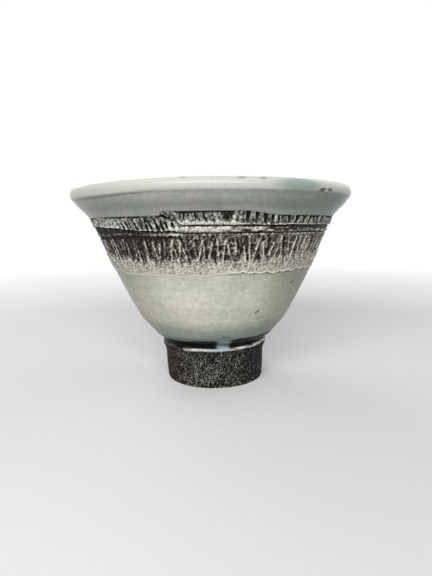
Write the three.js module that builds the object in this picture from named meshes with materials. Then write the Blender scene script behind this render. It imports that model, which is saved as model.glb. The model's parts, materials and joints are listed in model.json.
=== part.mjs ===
// A wheel-thrown stoneware bowl on a tall foot ring, with a band of clay pressed round its wall.
// The potter's own pieces are kept apart: the thrown bowl, its foot and the coil that lutes them
// together, and, lying in a shallow seat round the wall, chopped strips, a rough coil and scored slabs.
// Millimetres, +Z up. The origin is on the surface that the foot stands on, under the rim's centre.
import * as THREE from "three";

// Driving dimensions
const RIM_RADIUS = 100;
const RIM_HEIGHT = 135; // where the lip is widest
const HEIGHT = 139;
const LIP_WIDTH = 6.4;
const FOOT_HEIGHT = 26.6;
const FOOT_RADIUS = 36.1; // at the standing edge
const FOOT_SHOULDER_RADIUS = 39.4;
const FOOT_BORE_RADIUS = 30;
const NECK_RADIUS = 38.2; // where the bowl sits on the foot
const NECK_HEIGHT = 3.4; // from the foot up to where the wall begins to spread
const BEAD_DEPTH = 2.5; // how far the bead stands out of the neck
const BEAD_HALF_HEIGHT = 1.2;
const FLOOR_HEIGHT = 37; // inside, at the centre
const LEAN = 1.7 / RIM_HEIGHT; // the foot stands a little to the right of the rim's centre
const WALL_START = 36.4; // where the glaze ends, above the groove over the foot
const LIP_EDGE = 132; // the lip's lower edge
const SLIP = 0.3; // slip between two luted pieces

// The band, as heights on the wall and, for its seat, a depth into it
const SEAT_TOP = 119.8;
const SEAT_TOP_FRONT = 121.7; // at the front, where a strip was set higher
const SEAT_BOTTOM = 82.3;
const SEAT_DEPTH = 1.8;
const SEAT_EDGE_DEPTH = 0.5; // the seat runs out towards the wall along its lower edge
const SEAT_RAMP_TOP = 88;
const COIL_HEIGHT = 110.95; // the rough coil's centre
const COIL_HALF_WIDTH = 1.6;
const SLAB_TOP = 108.1;
const SLAB_BOTTOM = 82.6; // of its lowest lobes
const LOBE_HEIGHT = 0.8;
const BUTT_GAP = 0.5; // degrees between the ends of two pieces

const TURN_SEGMENTS = 60;
const WALL_STEPS = 11;
const SEAT_STEPS = 6;

const glaze = new THREE.MeshStandardMaterial({ color: 0xc3c6b6, roughness: 0.35, metalness: 0 });
const notchedClay = new THREE.MeshStandardMaterial({ color: 0x8f918a, roughness: 0.5, metalness: 0 });
const roughCoil = new THREE.MeshStandardMaterial({ color: 0x9b9c92, roughness: 0.55, metalness: 0 });
const scoredClay = new THREE.MeshStandardMaterial({ color: 0x6f6963, roughness: 0.55, metalness: 0 });
const ironClay = new THREE.MeshStandardMaterial({ color: 0x35322f, roughness: 0.75, metalness: 0 });
const lutingClay = new THREE.MeshStandardMaterial({ color: 0xb4bbb8, roughness: 0.4, metalness: 0 });

// Outlines are given as [radius, height].
function outlined(points) {
  return points.map(([radius, height]) => new THREE.Vector2(radius, height));
}

// The outside of the wall, from where the glaze ends up to the lip, and the inside back down.
const wall = new THREE.SplineCurve(
  outlined([
    [45.2, WALL_START],
    [50.6, 42.5],
    [56.1, 50],
    [64.6, 66.5],
    [73.7, 86],
    [81.2, 104.5],
    [88.4, 119.5],
    [95.3, 127.2],
    [98.9, LIP_EDGE],
  ]),
);
const inside = outlined([
  [87.8, 127.2],
  [81.2, 119],
  [73.6, 104.5],
  [65.8, 86],
  [55.2, 64.5],
  [45.4, 51],
  [34.5, 42],
  [20, 37.9],
  [0, FLOOR_HEIGHT],
]);

// The point of the wall at a height, moved inwards by a depth along the wall's normal.
function wallPoint(height, depth = 0) {
  let low = 0;
  let high = 1;
  while (high - low > 1e-6) {
    const middle = (low + high) / 2;
    if (wall.getPoint(middle).y < height) low = middle;
    else high = middle;
  }
  const point = wall.getPoint(low);
  const along = wall.getTangent(low);
  return new THREE.Vector2(point.x - along.y * depth, point.y + along.x * depth);
}

// Stations of the wall between two heights, both included.
function wallRun(from, to, steps, depthAt = () => 0) {
  return Array.from({ length: steps + 1 }, (_, i) => {
    const height = from + ((to - from) * i) / steps;
    return wallPoint(height, depthAt(height));
  });
}

// How deep the band's seat is at a height.
function seatDepth(height) {
  const up = THREE.MathUtils.clamp((height - SEAT_BOTTOM) / (SEAT_RAMP_TOP - SEAT_BOTTOM), 0, 1);
  return THREE.MathUtils.lerp(SEAT_EDGE_DEPTH, SEAT_DEPTH, up);
}

// Where the seat's upper edge is at an angle: angles are in degrees, 0 at the front, growing to the right.
function seatTop(angle) {
  const around = THREE.MathUtils.euclideanModulo(angle + 180, 360) - 180;
  const rise = THREE.MathUtils.smoothstep(around, -24, -18) - THREE.MathUtils.smoothstep(around, 12, 24);
  return THREE.MathUtils.lerp(SEAT_TOP, SEAT_TOP_FRONT, rise);
}

// The part's axis leans: each level is moved sideways, and stays level.
const lean = new THREE.Matrix4()
  .makeTranslation(LEAN * RIM_HEIGHT, 0, 0)
  .multiply(new THREE.Matrix4().makeShear(0, 0, 0, 0, -LEAN, 0));

function piece(name, geometry, material) {
  const mesh = new THREE.Mesh(geometry.applyMatrix4(lean), material);
  mesh.name = name;
  return mesh;
}

// Turns an outline round the Z axis. The outline is a list of points or a function of the angle.
function turned(outline) {
  const outlineAt = typeof outline === "function" ? outline : () => outline;
  const size = outlineAt(0).length;
  const geometry = new THREE.LatheGeometry(outlineAt(0), TURN_SEGMENTS).rotateX(Math.PI / 2);
  const spots = geometry.attributes.position;
  for (let segment = 0; segment <= TURN_SEGMENTS; segment++) {
    const turn = (segment / TURN_SEGMENTS) * 2 * Math.PI;
    const angle = THREE.MathUtils.radToDeg(turn);
    outlineAt(angle).forEach(({ x: radius, y: height }, i) => {
      spots.setXYZ(segment * size + i, radius * Math.sin(turn), -radius * Math.cos(turn), height);
    });
  }
  return geometry;
}

// The bowl: floor, groove, wall with the band's seat in it, the thick rolled lip, and the inside.
function thrownBowl() {
  const underside = outlined([
    [0, FOOT_HEIGHT + SLIP],
    [NECK_RADIUS, FOOT_HEIGHT + SLIP],
    [NECK_RADIUS, FOOT_HEIGHT + NECK_HEIGHT],
    [NECK_RADIUS + 1.8, FOOT_HEIGHT + NECK_HEIGHT + 1.7],
  ]);
  const lowerWall = wallRun(WALL_START, SEAT_BOTTOM, WALL_STEPS);
  const half = LIP_WIDTH / 2;
  const roll = new THREE.Path();
  roll.absellipse(RIM_RADIUS - half, RIM_HEIGHT, half, HEIGHT - RIM_HEIGHT, 0, Math.PI);
  return turned((angle) => [
    ...underside,
    ...lowerWall,
    ...wallRun(SEAT_BOTTOM, seatTop(angle), SEAT_STEPS, seatDepth),
    ...wallRun(seatTop(angle), LIP_EDGE, 3),
    ...roll.getPoints(3),
    ...inside,
  ]);
}

function footRing() {
  return turned(
    outlined([
      [FOOT_BORE_RADIUS, 0],
      [FOOT_RADIUS - 0.3, 0],
      [FOOT_RADIUS, 0.4],
      [FOOT_RADIUS + 0.8, 9],
      [FOOT_RADIUS + 1.2, 19],
      [FOOT_RADIUS + 1.9, 24],
      [FOOT_SHOULDER_RADIUS, FOOT_HEIGHT - 0.8],
      [FOOT_SHOULDER_RADIUS - 0.4, FOOT_HEIGHT],
      [FOOT_BORE_RADIUS + 1, FOOT_HEIGHT],
      [FOOT_BORE_RADIUS + 0.4, 24],
      [FOOT_BORE_RADIUS, 0],
    ]),
  );
}

// The bead squeezed out where the bowl meets the foot, half an oval with its flat towards the neck.
function lutingBead() {
  const flat = NECK_RADIUS + 2 * SLIP;
  const middle = FOOT_HEIGHT + SLIP + BEAD_HALF_HEIGHT;
  const outline = new THREE.Path();
  outline.absellipse(flat, middle, BEAD_DEPTH - 2 * SLIP, BEAD_HALF_HEIGHT, -Math.PI / 2, Math.PI / 2);
  outline.lineTo(flat, middle - BEAD_HALF_HEIGHT);
  return turned(outline.getPoints(3));
}

// A closed solid through rings of equal length, with a fan across each end.
function loft(rings) {
  const size = rings[0].length;
  const ends = [rings[0], rings[rings.length - 1]].map((ring) =>
    ring.reduce((sum, p) => sum.add(p), new THREE.Vector3()).divideScalar(size),
  );
  const points = [...rings.flat(), ...ends];
  const [firstEnd, lastEnd] = [points.length - 2, points.length - 1];
  const lastRing = (rings.length - 1) * size;
  const faces = [];
  for (let side = 0; side < size; side++) {
    const next = (side + 1) % size;
    for (let ring = 0; ring < rings.length - 1; ring++) {
      const [a, b] = [ring * size + side, ring * size + next];
      faces.push(a, a + size, b, b, a + size, b + size);
    }
    faces.push(firstEnd, side, next, lastEnd, lastRing + next, lastRing + side);
  }
  const geometry = new THREE.BufferGeometry().setFromPoints(points).setIndex(faces);
  geometry.computeVertexNormals();
  return geometry;
}

// A point of the band: an angle round the bowl, a height on the wall, and how far it stands proud of
// the wall, or behind it where that is negative.
function bandPoint(angle, height, proud) {
  const { x: radius, y: level } = wallPoint(height, -proud);
  const turn = THREE.MathUtils.degToRad(angle);
  return new THREE.Vector3(radius * Math.sin(turn), -radius * Math.cos(turn), level);
}

// A point on the back of a piece, bedded in slip on the seat.
function seatPoint(angle, height) {
  return bandPoint(angle, height, SLIP - seatDepth(height));
}

// Hand-made unevenness: a smooth wave in -1..1 along an angle, with its own phase for each seed.
function unevenness(angle, seed) {
  const turn = THREE.MathUtils.degToRad(angle);
  return 0.6 * Math.sin(5 * turn + 2.1 * seed) + 0.4 * Math.sin(13 * turn + 4.7 * seed);
}

// A strip chopped across with the edge of a stick from above: crests with a V cut between them that
// is deepest at the upper edge, over a burr where the stick has pushed the clay down and out.
function notchedStrip({ from, to, bottoms, highest, tuck, slants, pitch, seed }) {
  const count = Math.round((to - from) / pitch);
  const rings = [];
  for (let i = 0; i <= 3 * count; i++) {
    const [notch, part] = [Math.floor(i / 3), i % 3];
    const angle = from + ((to - from) * (notch + [0, 0.3, 0.65][part])) / count;
    const cut = part === 2 && i < 3 * count ? 1.3 + 0.2 * Math.sin(2.3 * i + seed) : 0;
    const slant = THREE.MathUtils.mapLinear(angle, from, to, slants[0], slants[1]);
    const bottom = THREE.MathUtils.mapLinear(angle, from, to, bottoms[0], bottoms[1]);
    const top = angle > tuck.from ? tuck.top : Math.min(seatTop(angle) - 0.5, highest);
    const at = (share) => [angle + slant * (0.5 - share), bottom + (top - bottom) * share];
    rings.push([
      seatPoint(...at(0)),
      bandPoint(...at(0.02), 0.15),
      bandPoint(...at(0.24), 0.3 - 0.3 * cut),
      bandPoint(...at(0.7), -0.05 - 0.8 * cut),
      bandPoint(...at(1), -0.4 - 0.65 * cut),
      seatPoint(...at(1)),
    ]);
  }
  return loft(rings);
}

// A rough coil pressed into the seat under the strips, its edges wandering as it goes round.
function ridgeCoil({ from, to, seed }) {
  const steps = Math.round((to - from) / 4);
  const rings = [];
  for (let i = 0; i <= steps; i++) {
    const angle = from + ((to - from) * i) / steps;
    const half = COIL_HALF_WIDTH + 0.2 * unevenness(3 * angle, seed);
    const centre = COIL_HEIGHT + 0.15 * unevenness(angle, seed + 1);
    const proud = 0.1 + 0.3 * unevenness(4 * angle, seed + 2);
    rings.push([
      seatPoint(angle, centre - half),
      bandPoint(angle, centre - half, proud - 0.8),
      bandPoint(angle, centre - 0.45 * half, proud),
      bandPoint(angle, centre + 0.45 * half, proud - 0.1),
      bandPoint(angle, centre + half, proud - 0.9),
      seatPoint(angle, centre + half),
    ]);
  }
  return loft(rings);
}

// A slab with a ridge along its upper edge, raised strokes that lean to and fro, and a lower edge of
// rounded lobes that stands a little proud of the wall.
function scoredSlab({ from, to, seed }) {
  const strokes = Math.round((to - from) / 4.7);
  const rings = [];
  for (let i = 0; i <= 3 * strokes; i++) {
    const [stroke, part] = [Math.floor(i / 3), i % 3];
    const angle = from + ((to - from) * (stroke + [0, 0.4, 0.6][part])) / strokes;
    const endRing = i === 0 || i === 3 * strokes;
    const tilt = endRing ? 0 : 1.4 * Math.sin(2.4 * stroke + seed);
    const crest = part > 0 ? 0.55 : 0;
    const bottom = SLAB_BOTTOM + LOBE_HEIGHT * (1 + unevenness(2 * angle, seed));
    const at = (share) => [angle + tilt * (0.5 - share), bottom + (SLAB_TOP - bottom) * share];
    rings.push([
      seatPoint(...at(0)),
      bandPoint(...at(0.01), 0.3),
      bandPoint(...at(0.4), 0.05 + 0.3 * crest),
      bandPoint(...at(0.86), -0.45 + crest),
      bandPoint(...at(0.94), -0.9),
      bandPoint(...at(1), -0.1),
      seatPoint(...at(1)),
    ]);
  }
  return loft(rings);
}

const bowl = new THREE.Group();
bowl.add(piece("thrown_bowl", thrownBowl(), glaze));
bowl.add(piece("foot_ring", footRing(), ironClay));
bowl.add(piece("luting_bead", lutingBead(), lutingClay));

// The chopped strips, end to end round the bowl. Each says where it starts, the height of its lower
// edge there and at its end, and how its first notch leans. The one at the front was set higher, and
// the end of the strip before it is tucked in below.
const tucked = { highest: 119.3, tuck: { from: -18.2, top: 114.1 } };
const strips = [
  { from: -79, bottoms: [112.4, 110.4], slant: 2, pitch: 3.1, ...tucked },
  { from: -18, bottoms: [114.8, 114.7], slant: 2.4, pitch: 4.6 },
  { from: 10, bottoms: [114.6, 114.4], slant: 0.6, pitch: 3.2 },
  { from: 77, bottoms: [114.3, 114.1], slant: -1.2, pitch: 3.4 },
  { from: 131, bottoms: [114, 113.4], slant: 0.8, pitch: 3.3 },
  { from: 202, bottoms: [113.2, 112.4], slant: 2.2, pitch: 3.2 },
];
const FIRST_STRIP_END = -12.5;
const untucked = { highest: SEAT_TOP_FRONT, tuck: { from: Infinity } };
strips.forEach((strip, i) => {
  const next = strips[i + 1] ?? { ...strips[0], from: strips[0].from + 360 };
  const to = i === 0 ? FIRST_STRIP_END : next.from - BUTT_GAP;
  const laid = { ...untucked, ...strip, to, slants: [strip.slant, next.slant], seed: i };
  bowl.add(piece(`notched_strip_${i + 1}`, notchedStrip(laid), notchedClay));
});

// Pieces laid end to end, each from its own starting angle to the next one's.
function layRound(starts, name, make, material) {
  starts.slice(0, -1).forEach((from, i) => {
    const to = starts[i + 1] - BUTT_GAP;
    bowl.add(piece(`${name}_${i + 1}`, make({ from, to, seed: i }), material));
  });
}
layRound([-10.5, 62, 130, 200], "ridge_coil", ridgeCoil, roughCoil);
layRound([-97, -18, 63, 129, 196, 263], "scored_slab", scoredSlab, scoredClay);

export default bowl;
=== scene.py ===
# %% [markdown]
# # A stoneware bowl with a relief band
# The bowl is thrown on a wheel, set on a tall dark foot ring and wrapped with strips, coils and slabs
# of clay. One pale glaze then runs over all of it but the foot. Turned pieces are made here by
# spinning an outline, and laid-on pieces by sweeping a section round the wall and pressing a relief
# into it. The construction model gives every size, so it comes first and its box is kept.

# %% Load the frame
import json
import math
import random

import bmesh
import bpy
from mathutils import Matrix, Vector, noise

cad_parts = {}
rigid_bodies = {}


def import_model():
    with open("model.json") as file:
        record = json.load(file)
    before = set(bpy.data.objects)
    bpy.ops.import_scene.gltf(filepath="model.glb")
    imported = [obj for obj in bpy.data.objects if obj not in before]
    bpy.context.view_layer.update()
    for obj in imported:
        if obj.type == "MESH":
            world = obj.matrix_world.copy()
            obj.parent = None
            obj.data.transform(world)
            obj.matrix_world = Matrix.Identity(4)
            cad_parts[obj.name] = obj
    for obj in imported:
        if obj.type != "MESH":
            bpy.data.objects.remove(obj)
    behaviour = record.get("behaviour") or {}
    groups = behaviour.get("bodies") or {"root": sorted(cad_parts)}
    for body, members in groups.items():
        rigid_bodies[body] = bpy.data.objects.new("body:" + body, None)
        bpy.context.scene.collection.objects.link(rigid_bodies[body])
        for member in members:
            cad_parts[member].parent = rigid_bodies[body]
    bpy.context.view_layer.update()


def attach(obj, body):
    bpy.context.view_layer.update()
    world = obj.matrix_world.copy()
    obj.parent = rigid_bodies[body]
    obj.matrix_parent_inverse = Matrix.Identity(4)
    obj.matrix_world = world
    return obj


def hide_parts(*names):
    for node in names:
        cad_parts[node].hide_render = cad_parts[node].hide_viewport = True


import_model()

# %% [markdown]
# ## Camera
# The camera stands level with the band and lower than the lip, and looks slightly down, so the inside
# of the bowl isn't seen. It has a wide lens and stands close, so the foot ring's bottom edge curves a lot.

# %% Camera
MM = 0.001
EYE = Vector((3.09, -326.6, 112.7)) * MM
PITCH_DOWN = math.radians(8.08)
ROLL = math.radians(-0.59)
camera_data = bpy.data.cameras.new("camera")
camera_data.sensor_fit = "VERTICAL"
camera_data.sensor_height = 36
camera_data.lens = 26.875
camera = bpy.data.objects.new("camera", camera_data)
look = Matrix.Rotation(math.radians(90) - PITCH_DOWN, 4, "X") @ Matrix.Rotation(ROLL, 4, "Z")
camera.matrix_world = Matrix.Translation(EYE) @ look
bpy.context.collection.objects.link(camera)
bpy.context.scene.camera = camera
bpy.context.scene.view_settings.view_transform = "Standard"
print("camera at", tuple(EYE))

# %% [markdown]
# ## Light
# A long, flat key lamp stands above the camera and a little to its left. It rakes over the relief, so
# the face under the flare stays darker than the lip. Two weaker lamps keep the far sides readable.

# %% Lamps
AIM = Vector((0, 0, 0.08))


def soft_lamp(name, azimuth, elevation, distance, size, power):
    """An area lamp that looks at the bowl. Azimuth 0 is the front, and it grows to the right."""
    turn, rise = math.radians(azimuth), math.radians(elevation)
    away = Vector((math.sin(turn) * math.cos(rise), -math.cos(turn) * math.cos(rise), math.sin(rise)))
    data = bpy.data.lights.new(name, "AREA")
    data.shape = "RECTANGLE"
    data.size, data.size_y = size
    data.energy = power
    lamp = bpy.data.objects.new(name, data)
    lamp.location = AIM + away * distance
    lamp.rotation_euler = away.to_track_quat("Z", "Y").to_euler()
    bpy.context.collection.objects.link(lamp)
    return lamp


key_lamp = soft_lamp("key_lamp", -8, 27, 1.3, (1.5, 0.22), 18.0)
right_lamp = soft_lamp("right_lamp", 125, 32, 1.4, (0.8, 0.8), 2.2)
back_lamp = soft_lamp("back_lamp", -150, 35, 1.4, (0.8, 0.8), 5.5)
print("lamps:", key_lamp.name, right_lamp.name, back_lamp.name)

# %% [markdown]
# The world is white for what the camera, a reflection or glass sees, and only a weak even light for
# the clay, so that it doesn't wash the relief out. Light Path tells the two apart.

# %% World
WORLD_LIGHT = 0.24


def put(tree, socket, value):
    """Feeds a socket from another node's output, or sets it to a plain number, colour or vector."""
    if isinstance(value, bpy.types.NodeSocket):
        tree.links.new(value, socket)
    else:
        socket.default_value = value


def maths(tree, operation, *values):
    """A Math node on up to three values."""
    node = tree.nodes.new("ShaderNodeMath")
    node.operation = operation
    for socket, value in zip(node.inputs, values):
        put(tree, socket, value)
    return node.outputs[0]


world = bpy.data.worlds.new("world")
bpy.context.scene.world = world
world.use_nodes = True
tree = world.node_tree
tree.nodes.clear()
rays = tree.nodes.new("ShaderNodeLightPath").outputs
seen = maths(tree, "MAXIMUM", rays["Is Camera Ray"], rays["Is Glossy Ray"])
seen = maths(tree, "MAXIMUM", seen, rays["Is Transmission Ray"])
choice = tree.nodes.new("ShaderNodeMixShader")
put(tree, choice.inputs[0], seen)
for socket, strength in ((choice.inputs[1], WORLD_LIGHT), (choice.inputs[2], 1.0)):
    background = tree.nodes.new("ShaderNodeBackground")
    background.inputs["Color"].default_value = (1, 1, 1, 1)
    background.inputs["Strength"].default_value = strength
    put(tree, socket, background.outputs[0])
world_output = tree.nodes.new("ShaderNodeOutputWorld")
put(tree, world_output.inputs["Surface"], choice.outputs[0])
print("world light", WORLD_LIGHT)

# %% [markdown]
# ## Floor
# A plain pale floor carries the bowl's shadow, and far from the bowl it fades into the white
# background. To the light that bounces off it onto the clay it is darker, so that it lights the bowl
# only weakly from below: Is Diffuse Ray picks that colour and leaves the fading out.

# %% Floor
PALE_FLOOR = (0.84, 0.84, 0.83, 1)
BOUNCE_FLOOR = (0.16, 0.15, 0.14, 1)
FADE_START, FADE_END = 0.3, 0.9


def graded(tree, value, low, high, start=0.0, end=1.0):
    """Maps low..high of a value to start..end and clamps it."""
    node = tree.nodes.new("ShaderNodeMapRange")
    for socket, number in zip(node.inputs, (value, low, high, start, end)):
        put(tree, socket, number)
    return node.outputs[0]


def blended(tree, share, first, second, blend="MIX"):
    """A Mix node on two colours."""
    node = tree.nodes.new("ShaderNodeMix")
    node.data_type = "RGBA"
    node.blend_type = blend
    put(tree, node.inputs[0], share)
    put(tree, node.inputs[6], first)
    put(tree, node.inputs[7], second)
    return node.outputs[2]


bm = bmesh.new()
bmesh.ops.create_grid(bm, x_segments=1, y_segments=1, size=3)
floor_mesh = bpy.data.meshes.new("floor")
bm.to_mesh(floor_mesh)
bm.free()
floor = bpy.data.objects.new("floor", floor_mesh)
floor_finish = bpy.data.materials.new("floor_finish")
floor_finish.use_nodes = True
tree = floor_finish.node_tree
floor_shader = tree.nodes["Principled BSDF"]
floor_shader.inputs["Roughness"].default_value = 0.85
bounced = tree.nodes.new("ShaderNodeLightPath").outputs["Is Diffuse Ray"]
put(tree, floor_shader.inputs["Base Color"], blended(tree, bounced, PALE_FLOOR, BOUNCE_FLOOR))
away = tree.nodes.new("ShaderNodeVectorMath")
away.operation = "LENGTH"
put(tree, away.inputs[0], tree.nodes.new("ShaderNodeTexCoord").outputs["Object"])
fading = graded(tree, away.outputs["Value"], FADE_START, FADE_END)
fading = maths(tree, "MULTIPLY", fading, maths(tree, "SUBTRACT", 1.0, bounced))
glow = tree.nodes.new("ShaderNodeEmission")
far_floor = tree.nodes.new("ShaderNodeMixShader")
put(tree, far_floor.inputs[0], fading)
put(tree, far_floor.inputs[1], floor_shader.outputs[0])
put(tree, far_floor.inputs[2], glow.outputs[0])
put(tree, tree.nodes["Material Output"].inputs["Surface"], far_floor.outputs[0])
floor_mesh.materials.append(floor_finish)
bpy.context.collection.objects.link(floor)
print("floor is in")

# %% [markdown]
# ## The wall's outline
# The band's pieces all lie against the outside of the wall, so its curve is drawn once, as a smooth
# line through a few points of radius and height, and looked up by height from then on. The whole
# bowl leans a little, so each level is shifted sideways when a piece is finished.

# %% Outline of the wall
FOOT_HEIGHT = 26.6
NECK_RADIUS = 38.2
RIM_RADIUS, RIM_HEIGHT = 100.0, 135.0
HEIGHT = 139.0
LIP_WIDTH = 6.4
LIP_STEPS = 20
LEAN = 1.7 / RIM_HEIGHT
WALL_START = 36.4
LIP_EDGE = 132.0
WALL = [
    (45.2, WALL_START), (50.6, 42.5), (56.1, 50), (64.6, 66.5), (73.7, 86),
    (81.2, 104.5), (88.4, 119.5), (95.3, 127.2), (98.9, LIP_EDGE),
]
INSIDE = [
    (93.5, 134), (91.4, 131.2), (87.8, 127.2), (81.2, 119), (73.6, 104.5), (65.8, 86), (55.2, 64.5),
    (45.4, 51), (34.5, 42), (20, 37.9), (0, 37),
]


def smooth_line(points, steps):
    """A smooth curve through the points, with so many steps between two of them."""
    line = []
    for i in range(len(points) - 1):
        before = points[max(i - 1, 0)]
        after = points[min(i + 2, len(points) - 1)]
        for k in range(steps):
            t = k / steps
            spot = []
            for axis in (0, 1):
                start, end = points[i][axis], points[i + 1][axis]
                lead = (end - before[axis]) / 2
                trail = (after[axis] - start) / 2
                cube = 2 * start - 2 * end + lead + trail
                square = -3 * start + 3 * end - 2 * lead - trail
                spot.append(cube * t**3 + square * t**2 + lead * t + start)
            line.append(tuple(spot))
    return line + [points[-1]]


wall_line = smooth_line(WALL, 24)


def wall_point(height, proud=0.0):
    """Radius and level of the wall at a height, moved outwards along its normal."""
    height = min(max(height, wall_line[0][1]), wall_line[-1][1] - 0.001)
    low, high = 0, len(wall_line) - 1
    while high - low > 1:
        middle = (low + high) // 2
        if wall_line[middle][1] <= height:
            low = middle
        else:
            high = middle
    (r0, z0), (r1, z1) = wall_line[low], wall_line[high]
    t = (height - z0) / (z1 - z0)
    length = math.hypot(r1 - r0, z1 - z0)
    out_r, out_z = (z1 - z0) / length, -(r1 - r0) / length
    return r0 + (r1 - r0) * t + out_r * proud, height + out_z * proud


def lip_roll():
    """Half an oval, from the lip's widest point over its top to the inside."""
    half = LIP_WIDTH / 2
    roll = []
    for i in range(LIP_STEPS + 1):
        turn = math.pi * i / LIP_STEPS
        roll.append((
            RIM_RADIUS - half + half * math.cos(turn),
            RIM_HEIGHT + (HEIGHT - RIM_HEIGHT) * math.sin(turn),
        ))
    return roll


print("the wall is", len(wall_line), "points long")

# %% [markdown]
# ## The seat for the band
# The band doesn't lie on the wall but in a shallow seat cut round it, so the outline stays smooth.
# The seat runs out along its lower edge, and at the front its upper edge is set a little higher.
# Nothing that a hand lays round a bowl stays level, so each edge is a function of the angle.

# %% Seat of the band
SEAT_TOP, SEAT_TOP_FRONT, SEAT_BOTTOM = 119.0, 121.3, 82.3
SEAT_DEPTH, SEAT_EDGE_DEPTH = 1.8, 0.5
SEAT_RAMP_TOP = 88.0
SHALLOW_FROM, SHALLOW_TO = (108.3, 109.0), (113.8, 114.8)
SHALLOWER_BY = 0.95
SLIP = 0.3


def rise(value, low, high):
    """Grows smoothly from 0 at low to 1 at high."""
    share = min(max((value - low) / (high - low), 0.0), 1.0)
    return share * share * (3 - 2 * share)


def seat_depth(angle, height):
    """The seat runs out downwards, and where the thin coil lies it isn't as deep."""
    share = min(max((height - SEAT_BOTTOM) / (SEAT_RAMP_TOP - SEAT_BOTTOM), 0.0), 1.0)
    under_coil = rise(height, *SHALLOW_FROM) * (1 - rise(height, *SHALLOW_TO)) * (1 - bare(angle))
    return SEAT_EDGE_DEPTH + (SEAT_DEPTH - SEAT_EDGE_DEPTH) * share - SHALLOWER_BY * under_coil


def around(angle):
    """Angles are in degrees, 0 at the front, growing to the right. This brings one to -180..180."""
    return (angle + 180) % 360 - 180


def one_side(angle, low, high):
    """Grows from 0 to 1 between two angles on the right side and dies out again towards the back."""
    return rise(around(angle), low, high) * (1 - rise(around(angle), 120, 170))


def seat_top(angle):
    """The seat's upper edge, higher at the front."""
    turn = around(angle)
    return SEAT_TOP + (SEAT_TOP_FRONT - SEAT_TOP) * (rise(turn, -19, -17.4) - rise(turn, 12, 28))


def slab_bottom(angle):
    """The slabs' lower edge hangs lowest a little left of the front."""
    turn = around(angle)
    sag = 1.5 * (rise(turn, -62, -44) - rise(turn, -14, 12))
    return 84.3 - sag + 0.35 * math.sin(math.radians(9 * angle)) + 0.25 * math.sin(math.radians(31 * angle))


def bare(angle):
    """1 on the left, where no coil lies between strips and slabs, and 0 elsewhere."""
    turn = around(angle)
    return rise(turn, -161, -159) * (1 - rise(turn, -12.6, -11.4))


def bare_edge(angle):
    """On that stretch the strips reach down to the slabs, lowest near the front."""
    return 113.5 - 3.2 * rise(around(angle), -65, -16)


def lip_edge(angle):
    """The lip's lower edge hangs lower at the front's left."""
    return LIP_EDGE - one_side(-angle, 8, 48) * (1.5 - 0.9 * rise(-around(angle), 56, 74))


print("seat from", slab_bottom(0), "to", seat_top(180), "and", seat_top(0), "at the front")

# %% [markdown]
# ## Turned pieces
# A bowl, a foot ring and a bead of clay are all turned forms: an outline goes round the axis. The
# outline's vertices are made once and the spin operator takes them round. Notes on the outline, such
# as how deep in the seat a vertex lies, are kept in float layers, which the spin copies along. Faces
# are shaded smooth, and only corners sharper than 70 degrees keep an edge, so torn clay stays soft.

# %% Helpers for pieces
SHARP_ANGLE = 70


def finished(bm, name, node_names):
    """Makes a smooth-shaded object of a bmesh given in millimetres, and hides the model's parts that it
    replaces.
    """
    for vert in bm.verts:
        vert.co.x += LEAN * (RIM_HEIGHT - vert.co.z)
        vert.co *= MM
    mesh = bpy.data.meshes.new(name)
    bm.to_mesh(mesh)
    bm.free()
    for face in mesh.polygons:
        face.use_smooth = True
    mesh.set_sharp_from_angle(angle=math.radians(SHARP_ANGLE))
    piece = bpy.data.objects.new(name, mesh)
    bpy.context.collection.objects.link(piece)
    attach(piece, "root")
    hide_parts(*node_names)
    print(name, len(mesh.polygons), "faces")
    return piece


def spun(outline, steps, notes=()):
    """Spins an outline once round the Z axis. Notes are named lists with one number for each point."""
    bm = bmesh.new()
    layers = [bm.verts.layers.float.new(note) for note, _ in notes]
    verts = []
    for i, (radius, height) in enumerate(outline):
        vert = bm.verts.new((0, -radius, height))
        for layer, (_, values) in zip(layers, notes):
            vert[layer] = values[i]
        verts.append(vert)
    edges = [bm.edges.new(pair) for pair in zip(verts, verts[1:])]
    bmesh.ops.spin(
        bm, geom=verts + edges, cent=(0, 0, 0), axis=(0, 0, 1),
        angle=math.tau, steps=steps, use_merge=True,
    )
    bmesh.ops.remove_doubles(bm, verts=bm.verts, dist=0.001)
    bmesh.ops.recalc_face_normals(bm, faces=bm.faces)
    return bm


def polar(vert):
    """Angle in degrees and radius of a vertex, before the lean."""
    return math.degrees(math.atan2(vert.co.x, -vert.co.y)), math.hypot(vert.co.x, vert.co.y)


def set_polar(vert, angle, radius, height):
    """Puts a vertex at an angle in degrees, a radius and a height."""
    turn = math.radians(angle)
    vert.co = (radius * math.sin(turn), -radius * math.cos(turn), height)


def unevenness(vert, amount, seed):
    """Swells and throwing rings, only inwards so that a piece never outgrows its size."""
    swell = noise.noise(Vector((vert.co.x * 0.02, vert.co.y * 0.02, vert.co.z * 0.03 + seed)))
    rings = noise.noise(Vector((seed, 3.1, vert.co.z * 0.24)))
    return amount * (swell + 0.3 * rings - 0.9)


print("corners over", SHARP_ANGLE, "degrees stay sharp")

# %% [markdown]
# ## The thrown bowl
# One outline runs from the flat under the floor out over the groove, up the wall and into the seat,
# round the lip and down the inside. After the spin each seat vertex is set to its own height, since
# the seat's upper edge wanders, and a drip of glaze is pushed out across the groove at the front.

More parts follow.
